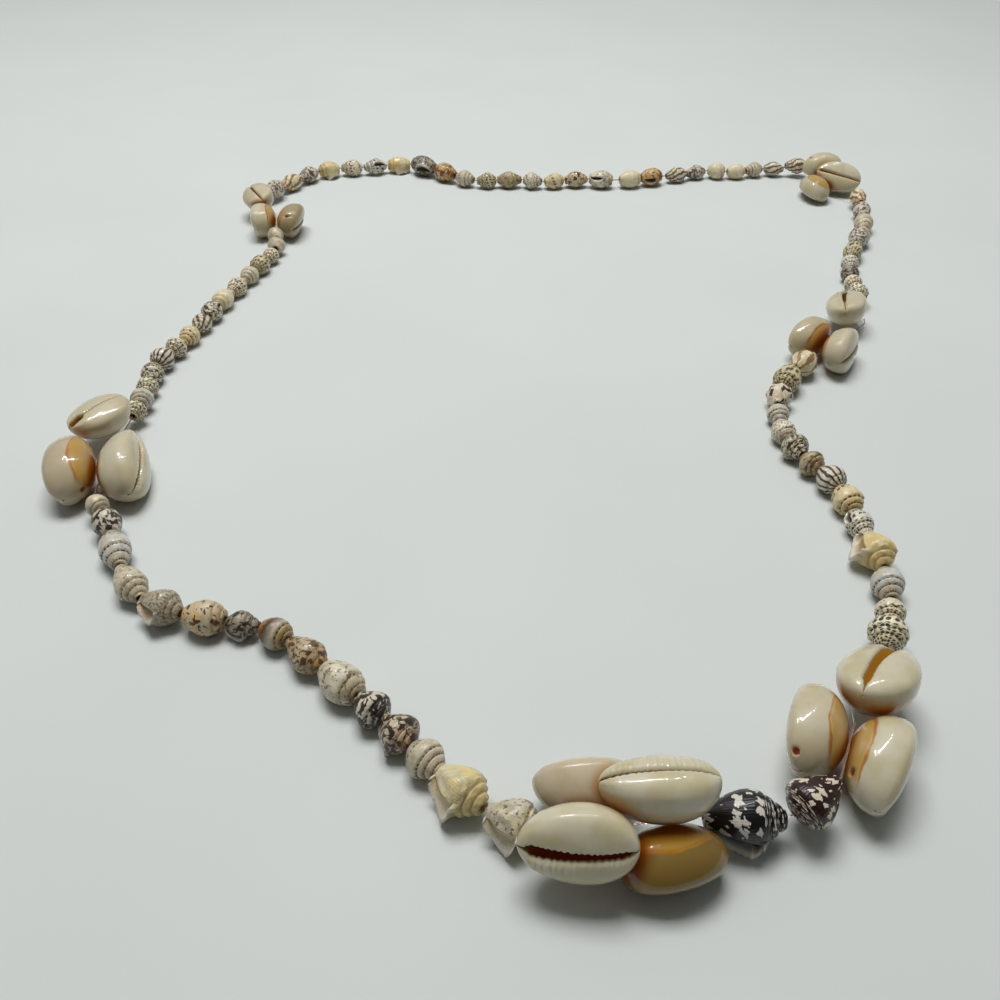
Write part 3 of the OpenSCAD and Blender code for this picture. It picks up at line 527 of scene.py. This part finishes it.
def mesh_object(name, points, faces, material_list, uv=None, floats=None, face_material=None):
    """A smooth mesh from arrays: points in metres, faces as point numbers, uv per face corner,
    named numbers per point."""
    mesh = bpy.data.meshes.new(name)
    mesh.from_pydata([tuple(p) for p in points], [], [tuple(f) for f in faces])
    mesh.polygons.foreach_set("use_smooth", [True] * len(mesh.polygons))
    if uv is not None:
        layer = mesh.uv_layers.new(name="turns")
        layer.data.foreach_set("uv", np.asarray(uv, np.float32).ravel())
    for key, values in (floats or {}).items():
        made = mesh.attributes.new(key, "FLOAT", "POINT")
        made.data.foreach_set("value", np.asarray(values, np.float32))
    for material in material_list:
        mesh.materials.append(material)
    if face_material is not None:
        mesh.polygons.foreach_set("material_index", face_material)
    mesh.update()
    return new_object(name, mesh)


def ease(low, high, value):
    """0 at low, 1 at high, with a smooth start and end."""
    x = np.clip((value - low) / (high - low), 0, 1)
    return x * x * (3 - 2 * x)


# Cowries

def fullness(t):
    return np.maximum(0, 1 - np.abs(t) ** 2.1) ** 0.52 * (1 - 0.08 * t)


def outer_height(t, angle):
    """Height of the outside over the widest line, as a share of the length."""
    c, f = math.cos(math.radians(angle)), fullness(t)
    return BACK_SHARE * f * c ** 0.95 if c > 0 else -BASE_SHARE * f ** 0.8 * (-c) ** 0.75


def half_width(width, f, angle):
    """How far the outside is from the middle plane, at this fullness and angle."""
    return width / 2 * f * math.sin(math.radians(angle))


def half_section(length, width, t, side, look, fine):
    """Columns of one half, from the middle of the back over the lip to the middle of the hollow:
    y, z, angle, groove, inside. Each is an array over the stations."""
    f = fullness(t)
    scale = length / PATTERN_LENGTH
    reach = look["ridges"][0 if side > 0 else 1]
    tail, head = look["span"]
    lip = LIP_RADIUS * scale * np.minimum(1, f / 0.55)
    shut = ease(tail - 0.1, tail + 0.12, t) * ease(head + 0.16, head - 0.02, t)
    gap = look["slit"] / 2 * (0.55 + 0.45 * ease(-0.5, 0.7, t)) * np.minimum(1, f / 0.3)
    gap *= 0.12 + 0.88 * shut
    bow = -0.035 * width * (1 - t * t)
    lip_y = bow + side * (gap + lip)
    base = length * outer_height(t, LIP_ANGLE)
    edge = side * half_width(width, f, LIP_ANGLE)
    # Ridges, closer together toward the ends and never quite even
    place = t + 0.1 * t ** 3 + 0.02 * side
    uneven = 0.13 * np.sin(9 * t + 2 * side) + 0.1 * np.sin(21 * t + side) + 0.05 * np.sin(47 * t)
    count = TEETH + (2 if side > 0 else 0)
    wave = 0.5 + 0.5 * np.cos(2 * math.pi * (count * place / 1.8 + uneven))
    strong = 1 + 0.3 * np.sin(5 * t + side) + 0.15 * np.sin(17 * t)
    ridge = (wave ** 0.8 - 0.5) * ease(0.96, 0.78, np.abs(t)) * strong
    columns = []
    for angle in (*np.linspace(0, TURN_ANGLE, 26 if fine else 10),
                  *np.linspace(TURN_ANGLE + 4, LIP_ANGLE, 18 if fine else 8)):
        turn = ease(TURN_ANGLE, LIP_ANGLE, angle)
        y = side * half_width(width, f, angle) + turn * (lip_y - edge)
        out = side * (y - bow) - gap
        near = ease(reach, 0.3 * reach, out) * ease(100, 120, angle)
        z = length * outer_height(t, angle) - look["tooth"] * scale * near * ridge
        columns.append((y, z, side * angle * np.ones_like(t), near * np.clip(-ridge * 1.4, 0, 1), 0 * t))
    for angle in np.linspace(25, 205, 11 if fine else 6):
        a = math.radians(angle)
        swell = lip + 1.1 * look["tooth"] * scale * ridge * math.sin(min(a, math.pi)) ** 0.7
        y = lip_y - side * swell * math.sin(a)
        z = base + lip - swell * math.cos(a)
        # Painted shade: deeper into the open slit, the lip's inside takes the hollow's colour
        painted_shade = ease(70, 125, angle) * shut
        columns.append((y, z, side * INNER_ANGLE * np.ones_like(t),
                        (1 - painted_shade) * np.clip(-ridge * 1.4, 0, 1), painted_shade))
    share = np.maximum(LEAST_HOLLOW, 1 - COWRIE_WALL / np.maximum(0.1, width / 2 * f))
    centre = length * f * (BACK_SHARE - BASE_SHARE) / 2
    # The inner wall is painted in shade where the slit is open
    for angle in np.linspace(150, 0, 7):
        y = side * half_width(width, f, angle) * share
        z = centre + (length * outer_height(t, angle) - centre) * share
        columns.append((y, z, side * INNER_ANGLE * np.ones_like(t), 0 * t, shut))
    return columns


def turn_matrix(x, y, z):
    """Turns about X, then Y, then Z, in degrees."""
    return (Matrix.Rotation(math.radians(z), 4, "Z") @ Matrix.Rotation(math.radians(y), 4, "Y")
            @ Matrix.Rotation(math.radians(x), 4, "X"))


def moved(points, matrix):
    m = np.array(matrix)
    return points @ m[:3, :3].T + m[:3, 3]


def cowrie_points(row):
    """One cowrie in its place, in millimetres: points, stations, section columns and the hole's place."""
    bunch, _, x, y, length, width, yaw, nose, roll, lift, hole_t, hole_angle, details = row
    look = PLAIN_COWRIE | details
    fine = "far" not in bunch
    ends = np.sin(np.radians(np.linspace(60, END_ANGLE, 9)))
    t = np.concatenate([-ends[::-1], np.linspace(-0.86, 0.86, 112 if fine else 62)[1:-1], ends])
    right = half_section(length, width, t, 1, look, fine)
    left = half_section(length, width, t, -1, look, fine)
    ring = right + left[-2:0:-1]
    points = np.array([[t * length / 2, c[0], c[1]] for c in ring]).transpose(2, 0, 1).reshape(-1, 3)
    # A pit where the hole is drilled, toward the middle of the shell
    f = fullness(hole_t)
    spot = np.array([hole_t * length / 2, half_width(width, f, hole_angle),
                     length * outer_height(hole_t, hole_angle)])
    inward = np.array([hole_t * length / 2, 0, length * f * (BACK_SHARE - BASE_SHARE) / 2]) - spot
    hole = np.linalg.norm(points - spot, axis=1)
    points += np.outer(ease(PIT_EDGE, PIT_FLOOR, hole) * PIT_DEPTH,
                       inward / np.linalg.norm(inward))
    placed = moved(points, turn_matrix(roll, -nose, yaw))
    placed += np.array([x, y, lift - placed[:, 2].min()])
    return placed, t, ring, hole


def build_cowrie(row, built, material):
    """Mesh of one cowrie, with amber light and red-brown shade painted where the others of its bunch are
    near.
    """
    node = "cowrie_" + "_".join(row[:2])
    look = PLAIN_COWRIE | row[-1]
    placed, t, ring, hole = built[row[:2]]
    count, stations = len(ring), len(t)
    angles, groove, inside = (np.array([column[k] for column in ring]).T.ravel() for k in (2, 3, 4))
    faces = []
    for j in range(stations - 1):
        for k in range(count):
            a, b = j * count + k, j * count + (k + 1) % count
            faces.append((a, b, b + count, a + count))
    faces.append(tuple(range(count - 1, -1, -1)))
    faces.append(tuple(range((stations - 1) * count, stations * count)))
    along = np.repeat(t, count)
    others = np.vstack([built[key][0][::5] for key in built if key[0] == row[0] and key != row[:2]])
    tree = KDTree(len(others))
    for i, point in enumerate(others):
        tree.insert(point, i)
    tree.balance()
    far = np.array([tree.find(point)[2] for point in placed])
    # Painted light and shade: strongest next to another shell of the bunch, and more so low down
    near = np.exp(-(far / PAINTED_GLOW_REACH) ** 2)
    low = ease(15, 4, placed[:, 2])
    bottom, top = placed[:, 2].min(), placed[:, 2].max()
    share_up = (placed[:, 2] - bottom) / (top - bottom)
    # Painted shade on the lower part of the wall where another shell is near
    under = ease(0.36, 0.06, share_up) * np.exp(-(far / PAINTED_SHADE_UNDER_REACH) ** 2)
    shell = mesh_object(node + "_shell", placed * MM, faces, [material], floats={
        "ring": np.sqrt((along / 0.82) ** 2 + (angles / 50) ** 2),
        "painted_glow_shade": np.minimum(1, look["light"] * (near * (0.45 + 0.45 * low) + 0.4 * under)),
        "groove": groove, "inside": inside, "hole": hole,
        "lined": look["lined"] * ease(0.88, 0.68, np.abs(along)),
        **{key: np.full(len(placed), look[key]) for key in ("yellow", "rose", "amber")}})
    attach(shell, "root")
    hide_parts(node)
    return shell


# Strung shells

def curve_through(route):
    """The smooth curve of the part's source: points and the length to each."""
    r = np.array(route, float)
    e = len(r) - 1
    points = []
    for i in range(e):
        a, b, c, d = r[max(i - 1, 0)], r[i], r[i + 1], r[min(i + 2, e)]
        for k in range(CURVE_STEPS):
            t = k / CURVE_STEPS
            points.append(0.5 * (2 * b + (c - a) * t + (2 * a - 5 * b + 4 * c - d) * t * t
                                 + (3 * b - a - 3 * c + d) * t ** 3))
    points.append(r[e])
    points = np.array(points)
    steps = np.linalg.norm(np.diff(points, axis=0), axis=1)
    return points, np.concatenate([[0], np.cumsum(steps)])


def seats(route, shells, lifts):
    """Seat of each shell: middle, heading, length and tilt, or None for bare thread."""
    points, lengths = curve_through(route)
    s = np.concatenate([[0], np.cumsum([row[0] for row in shells])])
    joint = np.stack([np.interp(s, lengths, points[:, k]) for k in (0, 1)], axis=1)
    heading = np.degrees(np.arctan2(*(np.diff(joint, axis=0)[:, ::-1].T)))
    bends = np.abs(np.diff(heading))
    bends = np.concatenate([[0], np.minimum(bends, 360 - bends), [0]])
    trims = BEAD_GAP / 2 + END_RADIUS * np.tan(np.radians(bends / 2))
    found = []
    for i, row in enumerate(shells):
        if row[1] == 0:
            found.append(None)
            continue
        d = (joint[i + 1] - joint[i]) / np.linalg.norm(joint[i + 1] - joint[i])
        a, b = joint[i] + d * trims[i], joint[i + 1] - d * trims[i + 1]
        middle = (joint[i] + joint[i + 1]) / 2
        shares = [max(0, 1 - np.linalg.norm(middle - end) / LIFT_REACH) ** 2
                  for end in (joint[0], joint[-1])]
        height = row[1] / 2 + lifts[0] * shares[0] + lifts[1] * shares[1]
        tilt = row[6] if len(row) > 6 else 0
        found.append((Vector((*(a + b) / 2, height)), heading[i], np.linalg.norm(b - a), tilt))
    return found


def snail_points(length, width, form, fine, flare, lumps):
    """One shell along X from its spire, its mouth at the top: points, faces, uv and named numbers."""
    outline, turns = FORMS[form]
    rings, around = (64, 56) if fine else (36, 36)
    xs, radii = np.array(outline).T
    dense = np.linspace(0, 1, 201)
    soft = np.convolve(np.pad(np.interp(dense, xs, radii), 5, "edge"), np.ones(11) / 11, "valid")
    turn_x, turn_k = np.array(turns).T
    last = turn_k[-2]
    s = np.linspace(0.012, 0.988, rings)
    u = np.arange(around) / around
    phi = 2 * math.pi * u - 0.75 * np.sin(2 * math.pi * u)
    S, P = np.meshgrid(s, phi, indexing="ij")
    radius = np.interp(S, dense, soft) * width / 2
    whorl = np.interp(S, turn_x, turn_k)
    k = whorl - P / (2 * math.pi)
    nearest = np.round(k)
    pitch = np.interp(S, turn_x[1:], np.append(np.diff(turn_x[1:]) / np.diff(turn_k[1:]), 0.2)) * length
    below = (k - nearest) * pitch
    real = (nearest < last - 0.5) & (nearest > -0.5)
    seam = np.where(real, np.exp(-(below / SEAM_WIDTH) ** 2), 0)
    # Each whorl bulges between its seams and steps in at the top; the last one runs on to the nose
    part = np.clip(k - np.floor(k), 0, 1)
    bulge = np.where(k < last - 1, (4 * part * (1 - part)) ** 0.6, 1)
    bulge = np.where((k >= last - 1) & (k < last), ease(0, 0.3, k - last + 1), bulge)
    radius = radius * (0.89 + 0.11 * bulge) - 0.09 * radius * seam
    knobs = np.cos(lumps * P) * np.exp(-((part - 0.35) / 0.22) ** 2) * (k > 0)
    radius = radius * (1 + (KNOB_HEIGHT if lumps else 0) * knobs + 0.014 * np.sin(3 * P + 9 * S))
    # Mouth: open from the pillar at one side to the outer lip, which stands proud or out as a wing
    signed = (P + math.pi) % (2 * math.pi) - math.pi
    along = (S - MOUTH_STATION + 0.02 * flare) / (0.25 + 0.08 * flare)
    lens = np.clip(1 - along ** 2, 0, 1) ** 0.5
    start, end = 0.16 * lens, -(0.42 + 0.5 * flare) * lens
    q = np.clip((start - signed) / np.maximum(0.02, start - end), 0, 1)
    inside = (signed < start) & (signed > end) & (lens > 0)
    deep = (0.5 - 0.14 * flare) * (1 - q) ** 0.8 * ease(0, 0.12, q) * ease(0, 0.35, lens)
    rim = np.exp(-((signed - end + 0.03) / (0.15 + 0.03 * flare)) ** 2)
    rim *= ease(1.35, 0.85, np.abs(along)) * (signed < 0.2)
    radius = radius * (1 - np.where(inside, deep, 0)) + (0.06 + 0.16 * flare) * width * rim
    shade = np.where(inside, ease(0, 0.1, q) * ease(0.95, 0.7, q) * ease(0, 0.3, lens), 0)
    # Three rings at each end lead into the bore
    bore = BORE_D / 2
    cap = np.repeat([[1.4, 0.12, 0], [bore * 0.8, bore, bore + 0.22]], around, 1).reshape(2, 3, around)
    rows = rings + 6
    X = np.vstack([cap[0], S * length, length - cap[0][::-1]])
    R = np.vstack([cap[1], radius, cap[1][::-1]])
    A = np.tile(phi, (rows, 1))
    points = np.stack([X, -R * np.sin(A), R * np.cos(A)], axis=2).reshape(-1, 3)
    j, i = np.meshgrid(np.arange(rows - 1), np.arange(around), indexing="ij")
    nxt = (i + 1) % around
    quads = np.stack([j * around + i, j * around + nxt, (j + 1) * around + nxt, (j + 1) * around + i],
                     axis=2).reshape(-1, 4)
    W = np.interp(X / length, turn_x, turn_k)
    corner_turn = np.append(phi, 2 * math.pi) / (2 * math.pi)
    uv = np.stack([
        np.stack([corner_turn[i], corner_turn[i + 1], corner_turn[i + 1], corner_turn[i]], axis=2),
        np.stack([W[j, i], W[j, nxt], W[j + 1, nxt], W[j + 1, i]], axis=2)], axis=3).reshape(-1, 2)
    flat = np.zeros((3, around))
    # Painted shade: the innermost ring of each bore takes the mouth's inner colour
    bore_shade_cap = np.zeros((3, around))
    bore_shade_cap[0] = 1
    floats = {
        "station": np.clip(X / length, 0, 1),
        "seam": np.vstack([flat, seam * 0.8, flat]),
        "lip": np.vstack([flat, np.clip(rim * 1.2 * (0.5 + 0.5 * flare), 0, 1), flat]),
        "mouth": np.vstack([bore_shade_cap, shade, bore_shade_cap[::-1]]),
    }
    return points, quads, uv, {key: value.ravel() for key, value in floats.items()}


def placed_snail(row, seat, fine):
    """One shell on its seat, in metres: points, faces, uv and named numbers."""
    centre, heading, length, tilt = seat
    finish = FINISHES[row[5]]
    points, quads, uv, floats = snail_points(length, row[1], row[2], fine, finish.get("flare", 0),
                                             finish.get("lumps", 0))
    matrix = (Matrix.Translation(centre) @ turn_matrix(0, -tilt, heading)
              @ turn_matrix(row[3] * row[4], 0, 180 if row[3] > 0 else 0)
              @ Matrix.Translation((-length / 2, 0, 0)))
    placed = moved(points, matrix)
    # A wing that would reach through the table lies flat on it
    placed[:, 2] = np.maximum(placed[:, 2], TABLE_GAP)
    return placed * MM, quads, uv, floats


def finish_material(name):
    return bpy.data.materials.get("snail_shell_" + name) or sea_snail_shell(name, FINISHES[name])


def join_arrays(parts):
    """Several shells as one mesh: points, faces, uv, named numbers, material number of each face."""
    slots, shells = zip(*parts)
    points, faces, uvs, floats = zip(*shells)
    starts = np.cumsum([0] + [len(p) for p in points])
    return (np.vstack(points), np.vstack([f + start for f, start in zip(faces, starts)]), np.vstack(uvs),
            {key: np.concatenate([one[key] for one in floats]) for key in floats[0]},
            np.repeat(slots, [len(f) for f in faces]))


class NecklaceSettings(bpy.types.PropertyGroup):
    ivory_hex: StringProperty(name="Ivory", description="Sides of the cowries", default="#CBC4AA")
    cream_hex: StringProperty(name="Cream", description="Clouds on the cowries' sides", default="#BEB491")
    back_hex: StringProperty(name="Back", description="Olive beige back of a cowrie", default="#B4924C")
    ring_hex: StringProperty(name="Ring", description="Soft ring round the back", default="#B47810")
    # Colour of the painted amber light where shells lean together
    painted_glow_hex: StringProperty(name="Glow", description="Light through leaning shells", default="#CE9440")
    # Red-brown painted as shade in a cowrie's hollow and drilled hole
    hollow_shade_hex: StringProperty(name="Hollow", description="Inside of a cowrie", default="#8A3414")
    card_hex: StringProperty(name="Card", description="Surface under the necklace", default="#D0D4D1")
    camera_height: FloatProperty(name="Camera height", description="Over the table", default=0.18,
                                 unit="LENGTH")
    camera_back: FloatProperty(name="Camera distance", description="In front of the loop's middle",
                               default=0.287, unit="LENGTH")
    camera_pitch: FloatProperty(name="Camera pitch", description="Down from level",
                                default=math.radians(39), subtype="ANGLE")


class NECKLACE_OT_cowries(bpy.types.Operator):
    """Build the nineteen cowries in their bunches"""
    bl_idname = "necklace.cowries"
    bl_label = "Cowries"

    def execute(self, context):
        material = porcelain_shell(context.scene.necklace)
        built = {row[:2]: cowrie_points(row) for row in COWRIES}
        for row in COWRIES:
            build_cowrie(row, built, material)
        return {"FINISHED"}


class NECKLACE_OT_single_shells(bpy.types.Operator):
    """Build the nearer strung shells, each a piece of its own"""
    bl_idname = "necklace.single_shells"
    bl_label = "Near shells"

    def execute(self, context):
        found = {key: seats(*value[:3]) for key, value in STRINGS.items()}
        for string, i, node in SINGLES:
            row = STRINGS[string][1][i]
            points, quads, uv, floats = placed_snail(row, found[string][i], True)
            made = mesh_object(node + "_snail", points, quads, [finish_material(row[5])], uv, floats)
            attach(made, "root")
            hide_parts(node)
        return {"FINISHED"}


class NECKLACE_OT_strings(bpy.types.Operator):
    """Build the four strings of small shells, each as one piece"""
    bl_idname = "necklace.strings"
    bl_label = "Strings"

    def execute(self, context):
        singles = {(string, i) for string, i, node in SINGLES}
        for string, (route, shells, lifts, node) in STRINGS.items():
            if node is None:
                continue
            rows = [pair for i, pair in enumerate(zip(shells, seats(route, shells, lifts)))
                    if pair[1] and (string, i) not in singles]
            names = sorted({row[5] for row, seat in rows})
            parts = [(names.index(row[5]), placed_snail(row, seat, string == "right"))
                     for row, seat in rows]
            points, quads, uv, floats, indices = join_arrays(parts)
            made = mesh_object(node + "_snails", points, quads, [finish_material(n) for n in names], uv,
                               floats, indices)
            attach(made, "root")
            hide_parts(node)
        return {"FINISHED"}


class NECKLACE_OT_thread(bpy.types.Operator):
    """Finish the thread as clear nylon line"""
    bl_idname = "necklace.thread"
    bl_label = "Thread"

    def execute(self, context):
        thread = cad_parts["thread"]
        thread.data.materials.clear()
        thread.data.materials.append(clear_line())
        return {"FINISHED"}


class NECKLACE_OT_stage(bpy.types.Operator):
    """Set the table, the lights and the camera"""
    bl_idname = "necklace.stage"
    bl_label = "Stage"

    def execute(self, context):
        sizes = context.scene.necklace
        corners = [(FLOOR_REACH * i, FLOOR_REACH * j, 0) for i, j in ((-1, -1), (1, -1), (1, 1), (-1, 1))]
        floor = mesh_object("floor", corners, [(0, 1, 2, 3)], [matt_paper(sizes)])
        # Lights: name, place, point aimed at or turn, size x, size y, power, seen in shiny surfaces only
        lights = [
            ("softbox", (-0.1, 0.22, 1.1), (-0.1, 0.22), 0.7, 0.5, 12.6, False),
            ("lamp_tick", (-0.42, 0.3, 0.8), -12, 0.016, 0.2, 1.2, True),
            ("lamp_short_arm", (-0.27, 0.27, 0.8), 30, 0.016, 0.2, 1.2, True),
            ("lamp_long_arm", (-0.05, 0.3, 0.8), -68, 0.016, 0.36, 2.2, True),
            ("lamp_spot", (0.2, 0.42, 0.8), -40, 0.03, 0.08, 0.3, True),
            ("lamp_far_spot", (0.3, 0.55, 0.8), -40, 0.03, 0.05, 0.2, True),
        ]
        for name, where, aim, size_x, size_y, power, shiny in lights:
            light = bpy.data.lights.new(name, "AREA")
            light.shape = "RECTANGLE"
            light.size, light.size_y, light.energy = size_x, size_y, power
            made = new_object(name, light)
            made.location = where
            if shiny:
                made.rotation_euler = (0, 0, math.radians(aim))
                made.visible_diffuse = False
            else:
                toward = Vector((*aim, 0)) - Vector(where)
                made.rotation_euler = toward.to_track_quat("-Z", "Y").to_euler()
                made.visible_glossy = False
        world = bpy.data.worlds.new("pale_room")
        world.use_nodes = True
        background = world.node_tree.nodes["Background"]
        add = partial(add_node, world.node_tree)
        # The room is brighter above and behind the necklace than on the viewer's side
        ways = add("SeparateXYZ", add("TexCoord").node.outputs["Generated"]).node.outputs
        behind = add("Math", ways[1], 0.15, 0.15, operation="MULTIPLY_ADD")
        above = add("Math", ways[2], 0.1, behind, operation="MULTIPLY_ADD")
        feed(background, {0: "#F1F4F2", 1: above})
        context.scene.world = world
        context.scene.view_settings.view_transform = "Standard"
        camera = bpy.data.cameras.new("camera")
        camera.lens, camera.sensor_width = 36, 36
        camera.clip_start = 0.01
        made = new_object("camera", camera)
        made.location = (-CAMERA_LEFT, -sizes.camera_back, sizes.camera_height)
        made.rotation_euler = (math.pi / 2 - sizes.camera_pitch, 0, 0)
        context.scene.camera = made
        return {"FINISHED"}


class NECKLACE_PT_panel(bpy.types.Panel):
    bl_idname = "NECKLACE_PT_panel"
    bl_label = "Cowrie Shell Necklace"
    bl_space_type = "VIEW_3D"
    bl_region_type = "UI"
    bl_category = "Necklace"

    def draw(self, context):
        for name in NecklaceSettings.__annotations__:
            self.layout.prop(context.scene.necklace, name)
        for operator in OPERATORS:
            self.layout.operator(operator.bl_idname)


OPERATORS = (NECKLACE_OT_cowries, NECKLACE_OT_single_shells, NECKLACE_OT_strings, NECKLACE_OT_thread,
             NECKLACE_OT_stage)


def register():
    for one in (NecklaceSettings, *OPERATORS, NECKLACE_PT_panel):
        bpy.utils.register_class(one)
    bpy.types.Scene.necklace = PointerProperty(type=NecklaceSettings)


def unregister():
    del bpy.types.Scene.necklace
    for one in reversed((NecklaceSettings, *OPERATORS, NECKLACE_PT_panel)):
        bpy.utils.unregister_class(one)


def main():
    register()
    bpy.ops.necklace.stage()
    bpy.ops.necklace.cowries()
    bpy.ops.necklace.single_shells()
    bpy.ops.necklace.strings()
    bpy.ops.necklace.thread()


if __name__ == "__main__":
    main()
